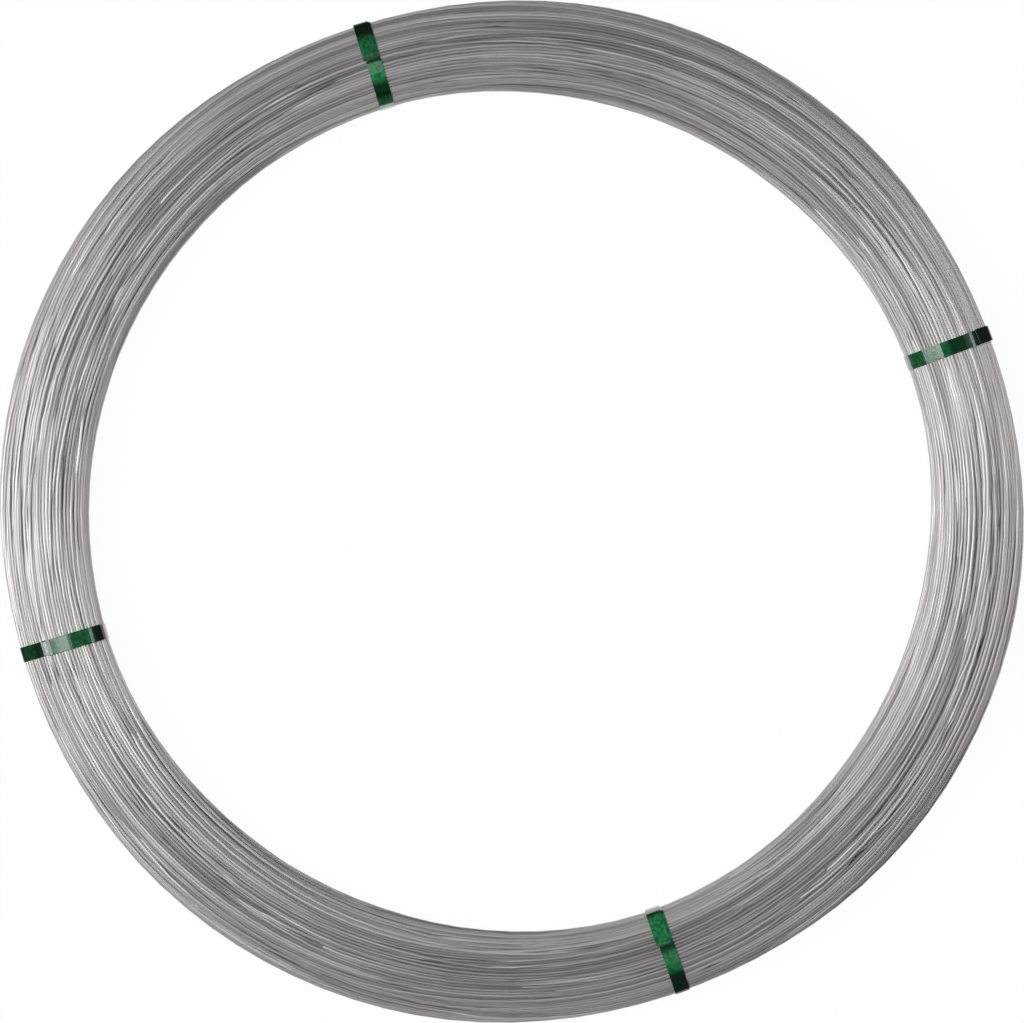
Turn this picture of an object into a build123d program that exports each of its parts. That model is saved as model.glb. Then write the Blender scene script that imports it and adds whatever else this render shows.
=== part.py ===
from build123d import *
from math import degrees, dist, hypot
import os

# Coil of drawn, zinc-coated steel wire, lying flat, held together by four tight plastic straps.
# Origin on the floor under the middle of the eye, +Z up along the coil's axis. Millimetres.

# Sizes of the wire and of the coil that is wound from it, measured where the straps pull it in
wire_diameter = 2.0
eye_diameter = 508.0
bundle_width = 51.0  # from the eye to the outside
coil_height = 52.0

# How far the turns swell half-way between two straps, for the spans from the right-hand strap anticlockwise
swells_outwards = (3.0, 3.6, 2.9, 3.8)
swells_inwards = (3.6, 0.7, 3.7, 3.4)
swell_upwards = 0.6  # and as much downwards

# Sizes of the strapping
strap_width = 9.0
strap_thickness = 0.7
strap_gap = 0.2  # between a strap and the turns that it holds
lap_shift = 1.5  # how far to the side the upper end of a strap may lie on the lower one

# Shape of the bundle's section: the straps press the turns into flats. Its corners, anticlockwise from the
# outside, as shares of half the bundle's width and of half the coil's height
corner_width_shares = (1, 0.95, 0.52, 0.26, -0.26, -0.7, -0.96, -1, -1, -0.73, -0.27, 0.27, 0.73, 1)
corner_height_shares = (0.2, 0.58, 0.89, 1, 1, 0.79, 0.54, 0.2, -0.27, -0.73, -1, -1, -0.73, -0.27)
end_zone_share = 0.96  # of the half height: the turns show on what lies beyond it, the coil's ends
groove_share = 0.3  # depth of the groove between two turns, as a share of the wire's diameter
flare_share = 0.42  # of a span: from the neck at a strap to the full swell
span_steps = 10  # sections that a span is lofted through

# Each strap: its angle round the coil, where the cut end of its lap lies across the bundle
# (0 at the eye, 1 at the outside), whether the lap runs on from there outwards or inwards, and its share
# of the sideways shift
strap_names = ("strap_right", "strap_top", "strap_left", "strap_bottom")
strap_angles = (20.5, 107.1, 196.4, 289.6)
lap_end_shares = (0.7, 0.53, 0.73, 0.41)
lap_outwards = (True, True, False, False)
lap_shift_shares = (0.3, -1, -0.4, 1)

# Worked out from the sizes above
eye_radius = eye_diameter / 2
bundle_middle_radius = eye_radius + bundle_width / 2
coil_base = strap_gap + strap_thickness  # the coil lies on the undersides of its straps
bundle_middle_height = coil_base + coil_height / 2
groove_depth = groove_share * wire_diameter
neck_angle = degrees(strap_width / eye_radius)  # to each side of a strap: the turns stay pressed
corner_shares = tuple(zip(corner_width_shares, corner_height_shares))


def section_plane(angle):
    """Upright plane through the coil's axis, at an angle round the coil."""
    return Plane.XZ.rotated((0, 0, angle))


def tied_corners():
    """Corners of the section under a strap, anticlockwise, as (radius, height)."""
    corners = []
    for width_share, height_share in corner_shares:
        radius = bundle_middle_radius + width_share * bundle_width / 2
        height = bundle_middle_height + height_share * coil_height / 2
        corners.append((radius, height))
    return corners


def loose_corners(span):
    """The same corners half-way along a span, where the turns spread into a round."""
    corners = []
    for width_share, height_share in corner_shares:
        reach = hypot(width_share, height_share)
        swell = swells_outwards[span] if width_share > 0 else swells_inwards[span]
        radius = bundle_middle_radius + width_share / reach * (bundle_width / 2 + swell)
        height = bundle_middle_height + height_share / reach * (coil_height / 2 + swell_upwards)
        corners.append((radius, height))
    return corners


def swollen_corners(span, share):
    """The corners at a share of a span: tied at its two necks, loose from the end of the flare."""
    rise = min(1, share / flare_share, (1 - share) / flare_share)
    bulge = rise * rise * (3 - 2 * rise)
    pairs = zip(tied_corners(), loose_corners(span))
    return [(r + bulge * (loose_r - r), z + bulge * (loose_z - z)) for (r, z), (loose_r, loose_z) in pairs]


def outline_marks():
    """Points of the section's outline: the flat each is on, its share of the flat, its depth in a groove.
    The turns show where a flat is on an end of the coil, and the walls at the eye and outside are plain."""
    marks = []
    corners = tied_corners()
    for flat, (start, end) in enumerate(zip(corners, corners[1:] + corners[:1])):
        turns = round(dist(start, end) / wire_diameter)
        heights = [start[1] + (end[1] - start[1]) * (turn + 1 / 2) / turns for turn in range(turns)]
        on_end = [abs(z - bundle_middle_height) > end_zone_share * coil_height / 2 for z in heights]
        for turn in range(turns):
            if turn == 0 or on_end[turn] or on_end[turn - 1]:
                marks.append((flat, turn / turns, 0))
            if on_end[turn]:
                marks.append((flat, (turn + 1 / 2) / turns, groove_depth))
    return marks


def coil_outline(span, share):
    """Outline of the bundle's section at a share of a span."""
    corners = swollen_corners(span, share)
    points = []
    for flat, run_share, depth in outline_marks():
        start, end = corners[flat], corners[(flat + 1) % len(corners)]
        width, height = end[0] - start[0], end[1] - start[1]
        inset_share = depth / dist(start, end)
        radius = start[0] + width * run_share - height * inset_share
        points.append((radius, start[1] + height * run_share + width * inset_share))
    return points


def span_sections(span):
    """Angle of each section along a span, strap to strap, and its share of the way between the necks."""
    first_angle = strap_angles[span]
    next_angle = strap_angles[(span + 1) % len(strap_angles)]
    whole_angle = (next_angle - first_angle) % 360
    open_angle = whole_angle - 2 * neck_angle
    shares = [step / span_steps for step in range(span_steps + 1)]
    sections = [(first_angle + neck_angle + share * open_angle, share) for share in shares]
    return [(first_angle, 0), *sections, (first_angle + whole_angle, 1)]


# The coil: one ring, open at the eye, that swells from strap to strap, with its turns showing on both ends
with BuildPart() as wire_coil:
    for span in range(len(strap_angles)):
        for angle, share in span_sections(span):
            with BuildSketch(section_plane(angle)):
                with BuildLine():
                    Polyline(*coil_outline(span, share), close=True)
                make_face()
        loft()
wire_coil.part.label = "wire_coil"


def strap_layer(inner, outer):
    """One thickness of strap round the bundle, between two distances from the turns, in the open sketch."""
    for distance, mode in ((outer, Mode.ADD), (inner, Mode.SUBTRACT)):
        with BuildSketch(mode=Mode.PRIVATE) as loop:
            with BuildLine():
                Polyline(*tied_corners(), close=True)
            make_face()
            offset(amount=distance, kind=Kind.INTERSECTION)
        add(loop.sketch, mode=mode)


def build_strap(name, angle, lap_end_share, outwards, shift_share):
    """A band drawn tight round the bundle, with its two ends lapped and welded on top."""
    section = section_plane(angle)
    first_layer = strap_gap + strap_thickness
    second_layer = first_layer + strap_thickness
    lap_end = eye_radius + lap_end_share * bundle_width
    lap_reach = bundle_width + second_layer
    lap_middle = lap_end + lap_reach / 2 if outwards else lap_end - lap_reach / 2
    lap_height = coil_height / 2 + second_layer
    with BuildPart() as strap:
        with BuildSketch(section):
            strap_layer(strap_gap, first_layer)
        extrude(amount=strap_width / 2, both=True)
        with BuildSketch(section.offset(shift_share * lap_shift)):
            strap_layer(first_layer, second_layer)
            with Locations((lap_middle, bundle_middle_height + lap_height / 2)):
                Rectangle(lap_reach, lap_height, mode=Mode.INTERSECT)
        extrude(amount=strap_width / 2, both=True)
    strap.part.label = name
    return strap.part


os.makedirs("parts", exist_ok=True)
export_step(wire_coil.part, "parts/wire_coil.step")
for strap_name, *place in zip(strap_names, strap_angles, lap_end_shares, lap_outwards, lap_shift_shares):
    export_step(build_strap(strap_name, *place), f"parts/{strap_name}.step")
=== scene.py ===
import bmesh
import bpy
import math
import numpy as np
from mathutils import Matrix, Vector


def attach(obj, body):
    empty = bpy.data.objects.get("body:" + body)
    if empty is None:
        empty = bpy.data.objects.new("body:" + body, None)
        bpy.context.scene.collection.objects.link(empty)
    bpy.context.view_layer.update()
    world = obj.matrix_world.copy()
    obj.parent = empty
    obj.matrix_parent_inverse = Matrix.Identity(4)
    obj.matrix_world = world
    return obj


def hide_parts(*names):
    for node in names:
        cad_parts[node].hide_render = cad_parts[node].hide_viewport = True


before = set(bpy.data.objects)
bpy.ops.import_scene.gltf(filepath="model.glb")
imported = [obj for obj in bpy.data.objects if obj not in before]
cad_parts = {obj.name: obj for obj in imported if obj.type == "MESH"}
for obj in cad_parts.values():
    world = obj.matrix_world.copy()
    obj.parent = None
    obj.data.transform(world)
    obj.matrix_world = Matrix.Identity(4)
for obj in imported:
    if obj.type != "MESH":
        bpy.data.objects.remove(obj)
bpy.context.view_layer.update()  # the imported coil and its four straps, in metres
mm = 0.001
fullTurn = 2 * math.pi
tiny = 1e-9  # keeps a division away from zero
footDepth = 0.1 * mm  # of the lowest points of a strap, its flat underside
pressedAngle = math.radians(0.5)  # to each side of a strap's middle, where it presses the coil


# Sizes that the frame gives
def nodePoints(name):
    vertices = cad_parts[name].data.vertices
    places = np.empty(len(vertices) * 3)
    vertices.foreach_get("co", places)
    return places.reshape(-1, 3)


def strapAngle(name):  # from the flat underside, which the lap doesn't reach
    points = nodePoints(name)
    foot = points[points[:, 2] < points[:, 2].min() + footDepth].mean(0)
    return math.atan2(foot[1], foot[0]) % fullTurn


strapNames = ["strap_right", "strap_top", "strap_left", "strap_bottom"]
strapAngles = np.array([strapAngle(name) for name in strapNames])

coilPoints = nodePoints("wire_coil")
bearings = np.arctan2(coilPoints[:, 1], coilPoints[:, 0])[:, None]
tied = coilPoints[(np.cos(bearings - strapAngles) > math.cos(pressedAngle)).any(1)]
tiedRadii = np.hypot(tied[:, 0], tied[:, 1])
coil = {
    "middleRadius": (tiedRadii.max() + tiedRadii.min()) / 2,
    "middleHeight": (tied[:, 2].max() + tied[:, 2].min()) / 2,
    "halfWidth": (tiedRadii.max() - tiedRadii.min()) / 2,
    "halfHeight": (tied[:, 2].max() - tied[:, 2].min()) / 2,
}
coilSizes = {name: round(size, 4) for name, size in coil.items()}
print("frame: straps at", np.degrees(strapAngles).round(1), coilSizes)


# Helpers for materials
def linear(hexColour):
    parts = [int(hexColour[i : i + 2], 16) / 255 for i in (1, 3, 5)]
    return [c / 12.92 if c <= 0.04045 else ((c + 0.055) / 1.055) ** 2.4 for c in parts] + [1.0]


def addNode(tree, kind, settings=None, links=None):
    node = tree.nodes.new(kind)
    for name, value in (settings or {}).items():
        if isinstance(name, str) and hasattr(node, name):
            setattr(node, name, value)
        else:
            node.inputs[name].default_value = value
    for name, output in (links or {}).items():
        tree.links.new(output, node.inputs[name])
    return node


def newMaterial(name):
    material = bpy.data.materials.new(name)
    material.use_nodes = True
    material.node_tree.nodes.clear()
    return material, material.node_tree


# Camera, straight above the middle of the eye as in the photograph
photoView = {
    "size": (1024, 1023),
    "mmPerPixel": 0.6,  # at the coil's middle height
    "coilMiddle": (511.4, 511.5),  # pixel
    "distance": 3.0,
    "sensor": 36.0,
    "clipEnd": 50.0,
}


def placeCamera(v):
    scale = v["mmPerPixel"] * mm
    x = (v["size"][0] / 2 - v["coilMiddle"][0]) * scale
    y = (v["coilMiddle"][1] - v["size"][1] / 2) * scale
    bpy.ops.object.camera_add(location=(x, y, coil["middleHeight"] + v["distance"]), rotation=(0, 0, 0))
    camera = bpy.context.object
    camera.data.sensor_width = v["sensor"]
    camera.data.lens = v["sensor"] * v["distance"] / (v["size"][0] * scale)
    camera.data.clip_end = v["clipEnd"]
    bpy.context.scene.camera = camera


# Floor and light: a long soft box on the left, brighter at its lower end, and a weak low one on the right
studio = {
    "floorSize": 30.0,
    "floorWhite": "#fdfdfd",
    "floorGlow": 0.97,  # share of the floor's white that doesn't depend on the lamps
    "worldGrey": "#b4b6b8",
    "worldStrength": 0.185,
    "boxes": [
        # name, place, size, power
        ("softBoxLeft", (-1.245, -0.1, 2.66), (1.15, 2.1), 43.0),
        ("stripBoxLeft", (-1.9, -0.1, 2.31), (1.15, 0.6), 12.0),
        ("fillBoxRight", (2.0, 0.3, 1.05), (2.4, 0.3), 12.0),
    ],
}


def buildStudio(s):
    bpy.context.scene.view_settings.view_transform = "Standard"
    bpy.ops.mesh.primitive_plane_add(size=s["floorSize"])
    floor = bpy.context.object
    floor.name = "studio_floor"
    material, tree = newMaterial("whitePaperSweep")
    rays = addNode(tree, "ShaderNodeLightPath")
    seen = addNode(tree, "ShaderNodeMath", {"operation": "MAXIMUM"},
                   {0: rays.outputs["Is Camera Ray"], 1: rays.outputs["Is Glossy Ray"]})
    seen = addNode(tree, "ShaderNodeMath", {"operation": "MAXIMUM"},
                   {0: seen.outputs[0], 1: rays.outputs["Is Transmission Ray"]})
    share = addNode(tree, "ShaderNodeMath", {"operation": "MULTIPLY", 1: s["floorGlow"]},
                    {0: seen.outputs[0]})
    paper = addNode(tree, "ShaderNodeBsdfDiffuse", {"Color": linear(s["floorWhite"])})
    glow = addNode(tree, "ShaderNodeEmission", {"Color": (1, 1, 1, 1), "Strength": 1.0})
    mixed = addNode(tree, "ShaderNodeMixShader", None,
                    {0: share.outputs[0], 1: paper.outputs[0], 2: glow.outputs[0]})
    addNode(tree, "ShaderNodeOutputMaterial", None, {"Surface": mixed.outputs[0]})
    floor.data.materials.append(material)

    world = bpy.data.worlds.new("dimStudio")
    world.use_nodes = True
    world.node_tree.nodes.clear()
    sky = addNode(world.node_tree, "ShaderNodeBackground",
                  {"Color": linear(s["worldGrey"]), "Strength": s["worldStrength"]})
    addNode(world.node_tree, "ShaderNodeOutputWorld", None, {"Surface": sky.outputs[0]})
    bpy.context.scene.world = world

    target = Vector((0, 0, coil["middleHeight"]))
    for name, place, size, power in s["boxes"]:
        turn = (target - Vector(place)).to_track_quat("-Z", "Y").to_euler()
        bpy.ops.object.light_add(type="AREA", location=place, rotation=turn)
        lamp = bpy.context.object
        lamp.name = name
        lamp.data.shape = "RECTANGLE"
        lamp.data.size, lamp.data.size_y = size
        lamp.data.energy = power
    print("studio: floor, soft boxes", len(s["boxes"]))


placeCamera(photoView)
buildStudio(studio)

# The wire: one length, laid turn by turn from the heart of the bundle outwards
wireTurns = {
    "wire": 2.0 * mm,
    "layerPitch": 1.75 * mm,  # between the rings that the turns are first laid in
    "heart": 2.0 / 3 * mm,  # radius within which no ring is laid
    "sections": 100,  # steps in a turn
    "sides": 8,
    "seed": 11,
    "settleSteps": 100,
    "quickSteps": 16,
    "pairSteps": 8,  # steps between two searches for turns that are close
    "pairReach": 1.5,  # how close, in thicknesses of the wire
    "thinStart": 0.7,  # share of its thickness that the wire starts with, so that turns can slip past
    "thinGrowth": 0.3,  # share that it grows by
    "grownAt": 0.7,  # share of the steps after which it is full
    "pushShare": 0.35,  # of an overlap, taken away in one step
    "press": 0.008 * mm,  # outwards at each step, so that most of the slack stays inside the bundle
    "skinPress": 0.045 * mm,  # more of it on the outer layers, so that the turns that show lie close
    "skinFrom": 0.83,  # of the bundle's half width
    "skinRamp": 0.1,  # over which it sets in
    "cling": 0.12,  # how strongly close turns draw together, which opens gaps between groups of them
    "clingReach": 0.4,  # how far apart they may be, in thicknesses of the wire
    "easing": 0.5,  # how much the wire is smoothed along its length in one step
    "lateEasing": 0.2,  # and in the last steps
    "lateFrom": 0.8,  # share of the steps
    "wanderIn": 0.4 * mm,  # how far a turn strays across its layer
    "wanderAlong": 2.2 * mm,  # and along it
    "wanderLength": 90,  # degrees of the coil over which it strays
    "wanderTurns": 2.2,  # turns that stray together
    "wanderReach": 8,  # turns to each side that have a part in it
    "wanderAlone": 0.5,  # share of it that each turn does by itself
    # corners of the section under a strap, anticlockwise, as shares of its half width and half height
    "tiedOutline": (
        (1, 0.2), (0.95, 0.58), (0.52, 0.89), (0.26, 1), (-0.26, 1), (-0.7, 0.79), (-0.96, 0.54),
        (-1, 0.2), (-1, -0.27), (-0.73, -0.73), (-0.27, -1), (0.27, -1), (0.73, -0.73), (1, -0.27),
    ),
    "looseWays": 24,  # directions, besides those of its flats, in which the outline is worked out
    "swellOut": (3.0, 3.6, 2.9, 3.8),  # mm outwards in the four spans between the straps
    "swellIn": (3.6, 0.7, 3.7, 3.4),  # mm into the eye
    "swellUp": 0.6,  # mm
    "swellDown": 0.6,  # mm
    "flareShare": 0.42,  # of a span, from a strap to the full swell
    "relief": 3.2 * mm,  # how far some turns between the straps lie below the others
    "reliefSides": 0.42,  # share of it at the eye and outside, where the turns lie closer
    "reliefWidth": 2.2 * mm,  # across the turns
    "reliefLength": 65,  # degrees of the coil
    "reliefFrom": 0.35,  # height of the noise above which turns sink
    "reliefTo": 1.1,  # height at which they are lowest
    "reliefWays": 180,  # directions across the bundle in which it is worked out
    "reliefFull": 0.5,  # share of the swell from which it is full
    "pieceTriangles": 196000,
    "toneLength": 140,  # degrees of the coil over which the zinc's tone drifts
    "toneMiddle": 0.5,
    "toneSpread": 0.32,
    "mapReach": 0.985,  # of the bake map's width, for the turns; the rest is for the cut ends
    "mapFill": 0.92,  # of a turn's strip in the map
    "mapEnds": (0.3, 0.7),  # height in the map of the two cut ends
    "mapEndSize": 0.002,
}


def smoothStep(x):
    x = np.clip(x, 0, 1)
    return x * x * (3 - 2 * x)


def bundleReach(w):  # how far wire middles may go, in each direction across the bundle, at each section
    angle = np.arange(w["sections"]) * fullTurn / w["sections"]
    span = ((angle[:, None] - strapAngles) % fullTurn).argmin(1)
    past = (angle - strapAngles[span]) % fullTurn
    share = past / ((np.roll(strapAngles, -1) - strapAngles) % fullTurn)[span]
    bulge = smoothStep(np.minimum(share, 1 - share) / w["flareShare"])[:, None]
    corners = np.array(w["tiedOutline"]) * (coil["halfWidth"], coil["halfHeight"])
    edges = np.roll(corners, -1, 0) - corners
    around = np.arange(w["looseWays"]) * fullTurn / w["looseWays"]
    way = np.concatenate([np.arctan2(-edges[:, 0], edges[:, 1]), around])
    across, up = np.cos(way), np.sin(way)
    ways = np.stack([across, up], 1)
    pressed = (ways @ corners.T).max(1)
    outwards, inwards = (np.array(w[key])[span][:, None] * mm for key in ("swellOut", "swellIn"))
    sideways = np.where(across > 0, outwards, inwards) * across**2
    upwards = np.where(up > 0, w["swellUp"], w["swellDown"]) * mm * up**2
    loose = np.hypot(coil["halfWidth"] * across, coil["halfHeight"] * up) + sideways + upwards
    return ways, pressed + (loose - pressed) * bulge - w["wire"] / 2, bulge


def reliefDepth(w, bulge, random):  # how far below the outline the turns lie, by section and direction
    sections, directions = w["sections"], w["reliefWays"]
    spectrum = np.fft.fft2(random.standard_normal((sections, directions)))
    along = np.fft.fftfreq(sections) * sections * w["reliefLength"] / 360
    across = np.fft.fftfreq(directions) * directions * w["reliefWidth"] / (fullTurn * coil["halfWidth"])
    spectrum *= np.exp(-(along[:, None] ** 2)) * np.exp(-(across**2))
    noise = np.fft.ifft2(spectrum).real
    sinks = smoothStep((noise / noise.std() - w["reliefFrom"]) / (w["reliefTo"] - w["reliefFrom"]))
    upright = np.sin(np.arange(directions) * fullTurn / directions) ** 2
    deepest = w["relief"] * (w["reliefSides"] + (1 - w["reliefSides"]) * upright)
    return deepest * sinks * smoothStep(bulge / w["reliefFull"])


def driftingNoise(count, wave, random):
    spectrum = np.fft.rfft(random.standard_normal(count))
    pace = np.arange(len(spectrum)) / count
    noise = np.fft.irfft(spectrum * np.exp(-((pace * wave) ** 2)), count)
    return noise / noise.std()


def strayNoise(w, turns, wave, random):  # shared by turns that were laid one after another
    count = turns * w["sections"]
    alone, shared = (driftingNoise(count, wave, random).reshape(turns, -1) for _ in range(2))
    reach = np.arange(-w["wanderReach"], w["wanderReach"] + 1)
    weights = np.exp(-((reach / w["wanderTurns"]) ** 2) / 2)
    shared = sum(np.roll(shared, step, 0) * weight for step, weight in zip(reach, weights))
    return w["wanderAlone"] * alone + (1 - w["wanderAlone"]) * shared / shared.std()


def firstLay(w, random):  # turns in rings, each moving on by one place as it goes round
    places = []
    radius = coil["halfWidth"] - w["wire"] / 2
    rings = []
    while radius > w["heart"]:
        rings.append((radius, max(1, round(fullTurn * radius / w["wire"]))))
        radius -= w["layerPitch"]
    for ring, (radius, count) in enumerate(reversed(rings)):
        places += [(radius, fullTurn * (ring + i / count)) for i in range(count)]
    places = np.array(places)
    following = np.vstack([places[1:], places[-1:]])
    turns, sections = len(places), w["sections"]
    share = np.arange(sections) / sections
    radius = places[:, :1] + (following - places)[:, :1] * smoothStep(share)
    angle = places[:, 1:] + (following - places)[:, 1:] * share
    wave = sections * w["wanderLength"] / 360
    strayIn, strayAlong = (strayNoise(w, turns, wave, random) for _ in range(2))
    radius = radius + strayIn * w["wanderIn"]
    along = strayAlong * w["wanderAlong"]
    middle = np.stack([np.cos(angle), np.sin(angle)], 2) * radius[..., None]
    return middle + np.stack([-np.sin(angle), np.cos(angle)], 2) * along[..., None]


def nearPairs(lay, reach):  # pairs of turns that are close at a section, as places in the wire's length
    sections = lay.shape[1]
    pairs = []
    for section in range(sections):
        p = lay[:, section]
        near = ((p[:, None] - p[None]) ** 2).sum(2) < reach**2
        a, b = np.nonzero(np.triu(near, 1))
        pairs.append(np.stack([a, b]) * sections + section)
    return np.hstack(pairs)


def settleTurns(w):  # pushes turns apart, keeps the wire smooth and the bundle inside its outline
    random = np.random.default_rng(w["seed"])
    lay = firstLay(w, random)
    ways, reach, bulge = bundleReach(w)
    depth = reliefDepth(w, bulge, random)
    rows = np.arange(w["sections"])[None]
    lay *= (reach.mean(1) / reach.mean(1).min())[None, :, None]
    steps = w["settleSteps"]
    for step in range(steps):
        if step % w["pairSteps"] == 0:
            a, b = nearPairs(lay, w["pairReach"] * w["wire"])
        grown = w["wire"] * min(1, w["thinStart"] + w["thinGrowth"] * step / (w["grownAt"] * steps))
        line = lay.reshape(-1, 2)
        between = line[b] - line[a]
        apart = np.sqrt((between**2).sum(1)) + tiny
        draw = w["cling"] * np.clip(apart - grown, 0, w["clingReach"] * grown)
        want = np.clip(grown - apart, 0, None) - draw
        push = w["pushShare"] * between * (want / apart)[:, None]
        count = len(line)
        move = [np.bincount(b, push[:, i], count) - np.bincount(a, push[:, i], count) for i in (0, 1)]
        line = line + np.stack(move, 1)
        out = np.sqrt((line**2).sum(1)) + w["wire"]
        skin = smoothStep((out / coil["halfWidth"] - w["skinFrom"]) / w["skinRamp"])
        line = line * (1 + (w["press"] + w["skinPress"] * skin) / out)[:, None]
        easing = w["easing"] if step < w["lateFrom"] * steps else w["lateEasing"]
        line[1:-1] += easing * ((line[:-2] + line[2:]) / 2 - line[1:-1])
        lay = line.reshape(lay.shape)
        bearing = np.arctan2(lay[..., 1], lay[..., 0]) / fullTurn * depth.shape[1]
        sunk = depth[rows, np.round(bearing).astype(int) % depth.shape[1]]
        for i, way in enumerate(ways):
            over = np.clip(lay @ way + sunk - reach[:, i], 0, None)
            lay = lay - over[..., None] * way
    print("wire:", len(lay), "turns settled")
    return lay


zincCoat = {
    "dull": "#a3a1a1",
    "bright": "#dedbdb",
    "noiseRange": (0.3, 0.7),  # that a pattern's noise mostly stays in
    "streak": (70 * mm, 1.2 * mm),  # wiped streaks, along and round the wire
    "streakTone": 0.25,  # how far they change the tone
    "satin": (30 * mm, 2.5 * mm),  # patches that are more or less rough
    "roughness": (0.48, 0.61),
    "dieLine": (40 * mm, 0.25 * mm),  # coarser than real ones, so that they show
    "dieDepth": 0.012 * mm,
    "dieStrength": 0.4,
    "anisotropy": 0.62,  # the die lines draw the highlight out across the wire
    "anisotropyTurn": 0.25,  # of a full turn, from along the wire to across it
}


def wireMaterial(w, z, pieceTurns):
    # Drawn steel wire, hot-dip galvanised and wiped: light satin grey, with duller and brighter lengths
    # and fine die lines along it
    material, tree = newMaterial("galvanisedDrawnSteel")
    strip = addNode(tree, "ShaderNodeUVMap", {"uv_map": "OFBake"})
    length = fullTurn * coil["middleRadius"] / w["mapReach"]
    girth = math.pi * w["wire"] * pieceTurns / w["mapFill"]

    def streaks(size, detail):
        repeats = (length / size[0], girth / size[1], 1)
        grid = addNode(tree, "ShaderNodeVectorMath", {"operation": "MULTIPLY", 1: repeats},
                       {0: strip.outputs[0]})
        noise = addNode(tree, "ShaderNodeTexNoise",
                        {"noise_dimensions": "2D", "Scale": 1.0, "Detail": detail},
                        {"Vector": grid.outputs[0]})
        return noise.outputs["Fac"]

    tone = addNode(tree, "ShaderNodeAttribute", {"attribute_name": "zincTone"})
    low, high = z["noiseRange"]
    wiped = addNode(tree, "ShaderNodeMapRange",
                    {"From Min": low, "From Max": high,
                     "To Min": -z["streakTone"], "To Max": z["streakTone"]},
                    {"Value": streaks(z["streak"], detail=3)})
    both = addNode(tree, "ShaderNodeMath", {"operation": "ADD", "use_clamp": True},
                   {0: tone.outputs["Fac"], 1: wiped.outputs[0]})
    zinc = addNode(tree, "ShaderNodeMix",
                   {"data_type": "RGBA", 6: linear(z["dull"]), 7: linear(z["bright"])},
                   {0: both.outputs[0]})
    smooth, rough = z["roughness"]
    satin = addNode(tree, "ShaderNodeMapRange",
                    {"From Min": low, "From Max": high, "To Min": smooth, "To Max": rough},
                    {"Value": streaks(z["satin"], detail=2)})
    lines = addNode(tree, "ShaderNodeBump", {"Strength": z["dieStrength"], "Distance": z["dieDepth"]},
                    {"Height": streaks(z["dieLine"], detail=2)})
    drawn = addNode(tree, "ShaderNodeTangent", {"direction_type": "UV_MAP", "uv_map": "OFBake"})
    metal = {"Metallic": 1.0, "Anisotropic": z["anisotropy"], "Anisotropic Rotation": z["anisotropyTurn"]}
    shader = addNode(tree, "ShaderNodeBsdfPrincipled", metal,
                     {"Base Color": zinc.outputs[2], "Roughness": satin.outputs[0],
                      "Normal": lines.outputs[0], "Tangent": drawn.outputs[0]})
    addNode(tree, "ShaderNodeOutputMaterial", None, {"Surface": shader.outputs[0]})
    return material


def wireMesh(name, skin):  # a closed tube through rings of points
    rings, sides = skin.shape[:2]
    first = np.arange(rings - 1)[:, None] * sides + np.arange(sides)
    after = np.arange(rings - 1)[:, None] * sides + (np.arange(sides) + 1) % sides
    quads = np.stack([first, first + sides, after + sides, after], 2).reshape(-1)
    caps = np.concatenate([np.arange(sides), (rings - 1) * sides + np.arange(sides)[::-1]])
    corners = np.concatenate([quads, caps])
    starts = np.concatenate([np.arange(len(quads) // 4) * 4, len(quads) + np.arange(2) * sides])
    mesh = bpy.data.meshes.new(name)
    mesh.vertices.add(rings * sides)
    mesh.vertices.foreach_set("co", skin.ravel())
    mesh.loops.add(len(corners))
    mesh.loops.foreach_set("vertex_index", corners)
    mesh.polygons.add(len(starts))
    mesh.polygons.foreach_set("loop_start", starts)
    mesh.polygons.foreach_set("use_smooth", np.ones(len(starts), bool))
    mesh.update(calc_edges=True)
    return mesh


def wireMap(w, rings, around):  # a strip for each turn, one above another, and the two cut ends beside them
    turnOf, stepOf = np.divmod(np.arange(rings - 1), w["sections"])
    u = np.stack([stepOf, stepOf + 1, stepOf + 1, stepOf], 1)[:, None] / w["sections"] * w["mapReach"]
    rows = (1 - w["mapFill"]) / 2 + w["mapFill"] * np.arange(w["sides"] + 1) / w["sides"]
    v = (turnOf[:, None] + rows) / (turnOf[-1] + 1)
    v = np.stack([v[:, :-1], v[:, :-1], v[:, 1:], v[:, 1:]], 2)
    flat = np.stack([np.broadcast_to(u, v.shape), v], 3).reshape(-1, 2)
    disc = np.stack([np.cos(around), np.sin(around)], 1) * w["mapEndSize"]
    discs = [np.array([1 - (1 - w["mapReach"]) / 2, place]) + disc for place in w["mapEnds"]]
    return np.vstack([flat, discs[0], discs[1][::-1]])


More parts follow.
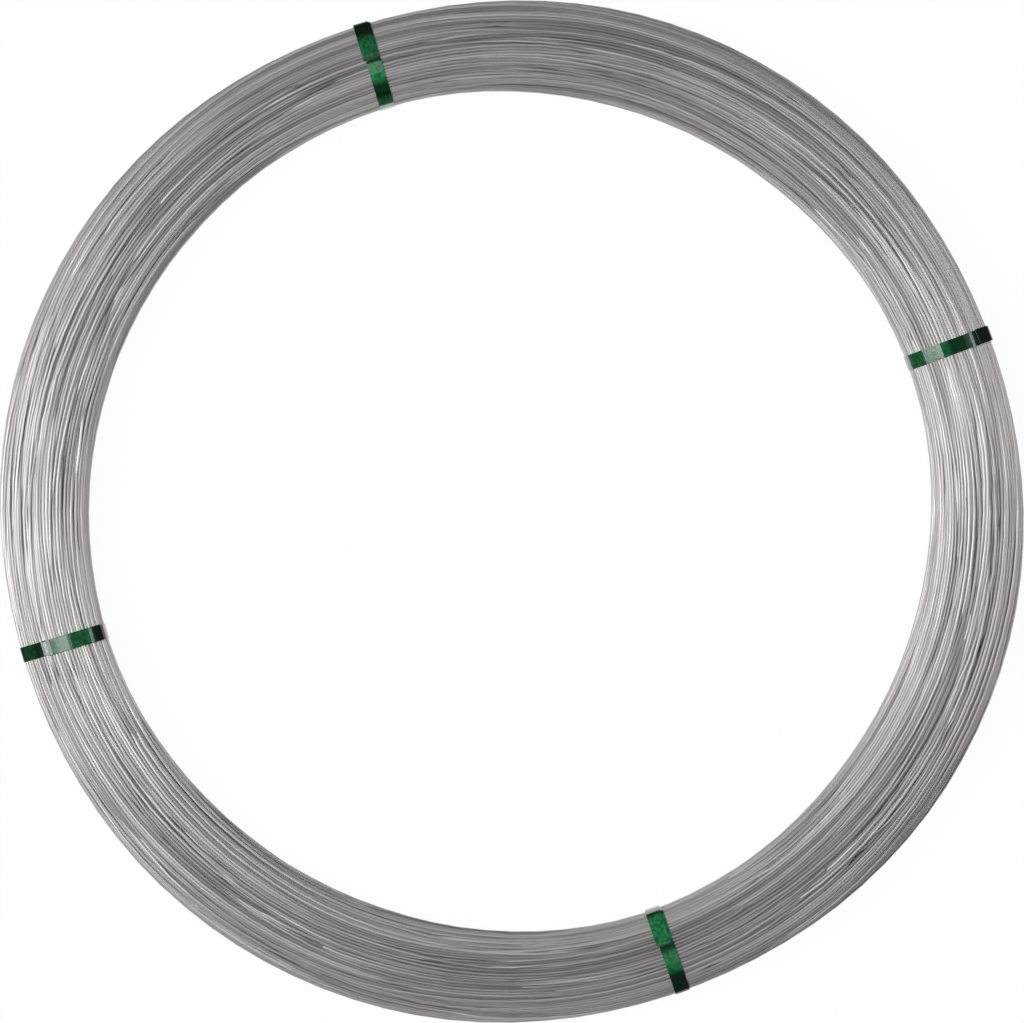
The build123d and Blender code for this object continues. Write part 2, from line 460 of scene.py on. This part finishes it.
def buildWire(w, lay):
    turns, sections = lay.shape[:2]
    sides = w["sides"]
    random = np.random.default_rng(w["seed"] + 1)
    tone = driftingNoise(turns * sections, sections * w["toneLength"] / 360, random)
    tone = np.clip(w["toneMiddle"] + w["toneSpread"] * tone, 0, 1)
    line = lay.reshape(-1, 2)
    turn = np.arange(len(line)) * fullTurn / sections
    around = (np.arange(sides) + 0.5) * fullTurn / sides
    radius = coil["middleRadius"] + line[:, :1] + w["wire"] / 2 * np.cos(around)
    height = coil["middleHeight"] + line[:, 1:] + w["wire"] / 2 * np.sin(around)
    skin = np.stack([radius * np.cos(turn)[:, None], radius * np.sin(turn)[:, None], height], 2)
    pieceTurns = w["pieceTriangles"] // (2 * sides * sections)
    pieces = math.ceil(turns / pieceTurns)
    ends = np.linspace(0, turns, pieces + 1).round().astype(int) * sections
    ends[-1] -= 1
    material = wireMaterial(w, zincCoat, turns / pieces)
    for number, (start, end) in enumerate(zip(ends[:-1], ends[1:]), 1):
        rings = end - start + 1
        mesh = wireMesh(f"wire_turns_{number}", skin[start : end + 1])
        bakeMap = mesh.uv_layers.new(name="OFBake")
        bakeMap.data.foreach_set("uv", wireMap(w, rings, around).ravel())
        layer = mesh.attributes.new("zincTone", "FLOAT", "POINT")
        layer.data.foreach_set("value", np.repeat(tone[start : end + 1], sides))
        mesh.materials.append(material)
        piece = bpy.data.objects.new(mesh.name, mesh)
        bpy.context.scene.collection.objects.link(piece)
        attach(piece, "root")
        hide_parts("wire_coil")
        print("wire:", piece.name, "triangles", 2 * sides * (rings - 1))


turnLay = settleTurns(wireTurns)
buildWire(wireTurns, turnLay)

# Straps: each a band drawn tight over the turns that stand proud, its upper end lapped and welded on top
straps = {
    "width": 9 * mm,
    "thickness": 0.7 * mm,
    "clearance": 0.05 * mm,
    "lap": 42 * mm,
    "rise": 1.6 * mm,  # over which the upper layer climbs onto the lower end
    "endLength": 0.8 * mm,  # of the sheared, dull end
    "bendStep": 9,  # degrees
    "runStep": 2.5 * mm,
    "riseSteps": 9,
    "leastStep": mm / 50,  # between two stations of the band
    "leastGrowth": 1.001,  # of the width between two stations, below which it stays
    "cutsAcross": 3,
    "edgeRound": 0.14 * mm,
    "edgeSegments": 2,
    "edgeAngle": math.radians(50),  # from which an edge is rounded
    "smoothAngle": math.radians(30),
    "liftLength": 9 * mm,  # over which the upper end stands off, too stiff to follow the bundle
    "flashWidth": 0.9 * mm,  # of the bead of plastic that the weld pressed out beside the cut end
    "flashPlace": 1.4,  # widths of the bead, from the cut end to its middle
    "flashSteps": (0.2, 3.1, 0.3),  # from, to and step of its stations, in widths
    "cornerSteps": (0, 0.06, 0.2, 0.45, 0.75, 1),  # stations in a rounded corner, as shares of its radius
    "litFrom": 0.75,  # upright share of the band's normal from which its colour is painted lighter, painted light for bright turns shining through
    "litOver": 0.25,
    "doubledLight": 0.3,  # share of that painted lightening where the band lies doubled, so it is painted darker there
    "crazeFade": 0.03,  # of the bundle's width, at the ends of a lighter stretch, weld crazing and painted light
    # step: share of the bundle's width, from the eye, at which a step shows on top
    # outwards: which way the band runs from its upper end
    # climb: the step is where the band climbs onto its lower end, else it is the cut upper end
    # shift: sideways; corner: radius at the cut end; lift: how far it stands off; flash: height of the bead
    # the list of lighter green stretches: from, to, how much; partly the weld's crazing, partly painted
    # light on the lit top of the band
    "ends": {
        "strap_right": dict(
            step=0.775, outwards=False, climb=True, shift=-0.5 * mm, corner=0.5 * mm, flash=0, lift=0,
            crazed=[(-0.02, 0.5, 0.45), (0.7, 0.79, 0.4)],
        ),
        "strap_top": dict(
            step=0.53, outwards=True, climb=False, shift=1.5 * mm, corner=0.5 * mm,
            flash=0.05 * mm, lift=0.2 * mm,
            crazed=[(-0.02, 0.1, 0.4), (0.26, 0.51, 1), (0.55, 0.8, 0.6)],
        ),
        "strap_left": dict(
            step=0.73, outwards=False, climb=False, shift=0.6 * mm, corner=2.6 * mm,
            flash=0.25 * mm, lift=0.9 * mm,
            crazed=[(0.1, 0.7, 0.5), (0.8, 0.98, 0.2)],
        ),
        "strap_bottom": dict(
            step=0.41, outwards=False, climb=False, shift=-1.7 * mm, corner=0.6 * mm,
            flash=0.05 * mm, lift=0.2 * mm,
            crazed=[(0.02, 0.39, 0.9), (0.44, 0.74, 0.8)],
        ),
    },
}


def wiresUnder(angle):  # middles of the wires below a strap, across the bundle
    sections = wireTurns["sections"]
    half = straps["width"] / 2 / coil["middleRadius"]
    found = []
    for at in (angle - half, angle, angle + half):
        place = at / fullTurn * sections
        low = int(place)
        found.append(turnLay[:, low] * (low + 1 - place) + turnLay[:, low + 1] * (place - low))
    return np.vstack(found)


def tightLoop(points):  # corners of the tight loop round the points, anticlockwise
    points = sorted(map(tuple, points))
    loop = []
    for ordered in (points, points[::-1]):
        side = []
        for p in ordered:
            while len(side) > 1:
                if np.cross(np.subtract(side[-1], side[-2]), np.subtract(p, side[-1])) > 0:
                    break
                side.pop()
            side.append(p)
        loop += side[:-1]
    return np.array(loop)


def bandStations(corners):  # (place, outward normal) along the loop, bends and straight runs
    stations = []
    count = len(corners)
    for i in range(count):
        before, here, after = corners[i - 1], corners[i], corners[(i + 1) % count]
        bearings = [math.atan2(-d[0], d[1]) for d in (here - before, after - here)]
        bend = (bearings[1] - bearings[0]) % fullTurn
        steps = max(1, math.ceil(math.degrees(bend) / straps["bendStep"]))
        for k in range(steps + 1):
            a = bearings[0] + bend * k / steps
            stations.append((here, np.array([math.cos(a), math.sin(a)])))
        run = np.linalg.norm(after - here)
        for k in range(1, int(run / straps["runStep"])):
            stations.append((here + (after - here) * k * straps["runStep"] / run, stations[-1][1]))
    return stations


dyedPlastic = {
    "deep": "#001c0c",
    "lit": "#013a1e",  # painted light: the lighter green used where the band faces up, for bright turns shining through it
    "crazed": "#2a9a5b",  # lighter green where the weld's heat crazed the plastic, also painted light over the lit zones of the band's top
    "noiseRange": (0.3, 0.7),  # that a pattern's noise mostly stays in
    "cloud": (9 * mm, 6 * mm),  # along and across the band
    "cloudTone": 0.15,
    "spot": (2.6 * mm, 2.2 * mm),
    "spotRange": (0.35, 0.65),
    "spotLeast": 0.35,  # craze between the spots
    "line": (60 * mm, 0.5 * mm),
    "lineDepth": 0.008 * mm,
    "lineStrength": 0.5,
    "mottleDepth": 0.06 * mm,
    "mottleStrength": 0.15,
    "weldMottle": 0.85,  # added where it is welded
    "ior": 1.62,  # of drawn polyester
    "roughness": 0.12,
    "weldRoughness": 0.14,  # added where it is welded
    "endRoughness": 0.5,  # added at the sheared end
}


def strapMaterial(d):
    # Extruded polyester strapping, dyed green: hard and glossy. Its colour is painted lighter where the
    # band faces up and darker where it lies doubled or on the flanks, painted light and shade for the
    # bright turns shining through it; lighter green stretches on top are partly the weld's crazing and
    # partly painted light; fine lines along it, mottled where it is welded
    material, tree = newMaterial("greenPolyesterStrap")
    along, across, paintedShine, weld, sheared = (
        addNode(tree, "ShaderNodeAttribute", {"attribute_name": name}).outputs["Fac"]
        for name in ("bandAlong", "bandAcross", "bandPaintedShine", "bandWeldAndPaintedLight", "bandEnd")
    )
    flat = addNode(tree, "ShaderNodeCombineXYZ", None, {0: along, 1: across})

    def pattern(size, detail):
        repeats = (1 / size[0], 1 / size[1], 1)
        grid = addNode(tree, "ShaderNodeVectorMath", {"operation": "MULTIPLY", 1: repeats},
                       {0: flat.outputs[0]})
        noise = addNode(tree, "ShaderNodeTexNoise",
                        {"noise_dimensions": "2D", "Scale": 1.0, "Detail": detail},
                        {"Vector": grid.outputs[0]})
        return noise.outputs["Fac"]

    spots = pattern(d["spot"], detail=3)
    low, high = d["noiseRange"]
    cloud = addNode(tree, "ShaderNodeMapRange",
                    {"From Min": low, "From Max": high,
                     "To Min": -d["cloudTone"], "To Max": d["cloudTone"]},
                    {"Value": pattern(d["cloud"], detail=2)})
    # painted light and shade: the band's facing and doubling set how far the dye is lightened, with a
    # random cloud tone added
    shine = addNode(tree, "ShaderNodeMath", {"operation": "ADD", "use_clamp": True},
                    {0: paintedShine, 1: cloud.outputs[0]})
    dyed = addNode(tree, "ShaderNodeMix",
                   {"data_type": "RGBA", 6: linear(d["deep"]), 7: linear(d["lit"])},
                   {0: shine.outputs[0]})
    low, high = d["spotRange"]
    # the weld's crazing and painted light: lighter green spots where the weld mask is set
    crazed = addNode(tree, "ShaderNodeMapRange",
                     {"From Min": low, "From Max": high, "To Min": d["spotLeast"], "To Max": 1.0},
                     {"Value": spots})
    melted = addNode(tree, "ShaderNodeMath", {"operation": "MULTIPLY"}, {0: weld, 1: crazed.outputs[0]})
    green = addNode(tree, "ShaderNodeMix", {"data_type": "RGBA", 7: linear(d["crazed"])},
                    {0: melted.outputs[0], 6: dyed.outputs[2]})
    lines = addNode(tree, "ShaderNodeBump", {"Strength": d["lineStrength"], "Distance": d["lineDepth"]},
                    {"Height": pattern(d["line"], detail=2)})
    ripple = addNode(tree, "ShaderNodeMath",
                     {"operation": "MULTIPLY_ADD", 1: d["weldMottle"], 2: d["mottleStrength"]}, {0: weld})
    mottle = addNode(tree, "ShaderNodeBump", {"Distance": d["mottleDepth"]},
                     {"Strength": ripple.outputs[0], "Height": spots, "Normal": lines.outputs[0]})
    gloss = addNode(tree, "ShaderNodeMath",
                    {"operation": "MULTIPLY_ADD", 1: d["weldRoughness"], 2: d["roughness"]}, {0: weld})
    dull = addNode(tree, "ShaderNodeMath", {"operation": "MULTIPLY_ADD", 1: d["endRoughness"]},
                   {0: sheared, 2: gloss.outputs[0]})
    shader = addNode(tree, "ShaderNodeBsdfPrincipled", {"IOR": d["ior"]},
                     {"Base Color": green.outputs[2], "Roughness": dull.outputs[0],
                      "Normal": mottle.outputs[0]})
    addNode(tree, "ShaderNodeOutputMaterial", None, {"Surface": shader.outputs[0]})
    return material


def bandPath(name, angle):  # inner face of the band, from its upper end round to its lower one
    s = straps
    end = s["ends"][name]
    stations = bandStations(tightLoop(wiresUnder(angle)))
    if end["outwards"]:
        stations.reverse()  # clockwise: from the top outwards and down
    base = wireTurns["wire"] / 2 + s["clearance"]
    places = np.array([here + base * normal for here, normal in stations])
    normals = np.array([normal for _, normal in stations])
    edge = (end["step"] - 0.5) * 2 * coil["halfWidth"]
    passed = places[:, 0] >= edge if end["outwards"] else places[:, 0] <= edge
    start = min(np.nonzero(passed & (places[:, 1] > 0))[0], key=lambda i: abs(places[i, 0] - edge))
    places, normals = np.roll(places, -start, 0), np.roll(normals, -start, 0)
    steps = np.linalg.norm(np.diff(places, axis=0, append=places[:1]), axis=1)
    loop = steps.sum()
    if end["climb"]:
        back = np.searchsorted(np.cumsum(steps), loop - s["lap"])
        places, normals, steps = (np.roll(part, -back, 0) for part in (places, normals, steps))
    along = np.concatenate([np.cumsum(steps) - steps, loop + np.cumsum(steps) - steps])
    places, normals = np.tile(places, (2, 1)), np.tile(normals, (2, 1))
    near = end["corner"] * np.array(s["cornerSteps"])
    ramp = s["lap"] + s["rise"] * np.linspace(0, 1, s["riseSteps"])
    bead = loop - s["flashWidth"] * np.arange(*s["flashSteps"])
    marks = np.unique(np.concatenate([along[along < loop + s["lap"]], near, ramp, bead]).round(6))
    marks = marks[np.insert(np.diff(marks) > s["leastStep"], 0, True)]
    places = np.stack([np.interp(marks, along, places[:, i]) for i in (0, 1)], 1)
    normals = np.stack([np.interp(marks, along, normals[:, i]) for i in (0, 1)], 1)
    layer = s["thickness"] * (1 - smoothStep((marks - s["lap"]) / s["rise"]))
    flash = end["flash"] * np.exp(-(((marks - loop) / s["flashWidth"] + s["flashPlace"]) ** 2))
    lift = end["lift"] * np.clip(1 - marks / s["liftLength"], 0, None) ** 2
    places = places + normals * (layer + flash + lift)[:, None]
    side = end["shift"] * (0.5 - marks / marks[-1])
    radius, height = coil["middleRadius"] + places[:, 0], coil["middleHeight"] + places[:, 1]
    points = np.stack([radius, side, height], 1)
    rounded = np.clip(end["corner"] - marks, 0, None)
    halfWidth = s["width"] / 2 - end["corner"] + np.sqrt(end["corner"] ** 2 - rounded**2)
    # painted light: lighter where the band's normal points up, darker where it lies doubled
    paintedShine = smoothStep((normals[:, 1] - s["litFrom"]) / s["litOver"])
    paintedShine = paintedShine * np.where(marks < s["lap"], s["doubledLight"], 1)
    share = places[:, 0] / (2 * coil["halfWidth"]) + 0.5
    fade = s["crazeFade"]
    # partly the weld's crazing, partly painted light: lighter green stretches listed on the band's upper
    # side
    weld = sum(much * smoothStep((share - first) / fade) * smoothStep((last - share) / fade)
               for first, last, much in end["crazed"]) * (normals[:, 1] > 0)
    sheared = 1 - smoothStep(marks / s["endLength"])
    traits = {"bandAlong": marks, "bandPaintedShine": paintedShine, "bandWeldAndPaintedLight": weld, "bandEnd": sheared}
    return points, normals, halfWidth, traits


def applyModifier(piece, kind, **settings):
    modifier = piece.modifiers.new(kind.title(), kind)
    for key, value in settings.items():
        setattr(modifier, key, value)
    bpy.ops.object.modifier_apply(modifier=modifier.name)


def buildStrap(name, angle, material):
    s = straps
    points, normals, halfWidth, traits = bandPath(name, angle)
    bpy.ops.object.select_all(action="DESELECT")
    bpy.ops.mesh.primitive_plane_add(size=2 * halfWidth[0])
    band = bpy.context.object
    band.name = band.data.name = name.replace("strap", "green_strap")
    bpy.ops.object.mode_set(mode="EDIT")
    shape = bmesh.from_edit_mesh(band.data)
    for vertex in shape.verts:
        vertex.select_set(vertex.co.x < 0)
    shape.select_flush_mode()
    bmesh.update_edit_mesh(band.data)
    bpy.ops.mesh.delete(type="VERT")  # one edge across the band is left
    bpy.ops.mesh.select_all(action="SELECT")
    bpy.ops.transform.translate(value=points[0] - (halfWidth[0], 0, 0))
    bpy.ops.mesh.subdivide(number_cuts=s["cutsAcross"])
    for i, step in enumerate(np.diff(points, axis=0)):
        bpy.ops.mesh.extrude_region_move(TRANSFORM_OT_translate={"value": step})
        wider = halfWidth[i + 1] / halfWidth[i]
        if wider > s["leastGrowth"]:
            bpy.ops.transform.resize(value=(1, wider, 1), center_override=points[i + 1])
    bpy.ops.object.mode_set(mode="OBJECT")
    places = np.empty(len(band.data.vertices) * 3)
    band.data.vertices.foreach_get("co", places)
    places = places.reshape(-1, 3)
    station = ((places[:, None, ::2] - points[None, :, ::2]) ** 2).sum(2).argmin(1)
    traits = {trait: values[station] for trait, values in traits.items()}
    traits["bandAcross"] = places[:, 1] - points[station, 1]
    for trait, values in traits.items():
        band.data.attributes.new(trait, "FLOAT", "POINT").data.foreach_set("value", values)
    outwards = Vector((normals[0][0], 0, normals[0][1]))
    thick = 1 if band.data.polygons[0].normal.dot(outwards) > 0 else -1
    applyModifier(band, "SOLIDIFY", thickness=s["thickness"], offset=thick)
    applyModifier(band, "BEVEL", width=s["edgeRound"], segments=s["edgeSegments"],
                  limit_method="ANGLE", angle_limit=s["edgeAngle"])
    bpy.ops.object.mode_set(mode="EDIT")
    bpy.ops.mesh.select_all(action="SELECT")
    bpy.ops.mesh.normals_make_consistent(inside=False)
    bpy.ops.object.mode_set(mode="OBJECT")
    bpy.ops.object.shade_smooth_by_angle(angle=s["smoothAngle"])
    applyModifier(band, "WEIGHTED_NORMAL", keep_sharp=True)  # flats stay flat up to their rounded edges
    band.rotation_euler.z = angle
    bpy.ops.object.transform_apply(location=True, rotation=True, scale=True)
    band.data.materials.clear()
    band.data.materials.append(material)
    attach(band, "root")
    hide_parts(name)
    triangles = sum(len(face.vertices) - 2 for face in band.data.polygons)
    print("strap:", band.name, "stations", len(points), "triangles", triangles)


greenStrap = strapMaterial(dyedPlastic)
for strapName, angle in zip(strapNames, strapAngles):
    buildStrap(strapName, angle, greenStrap)
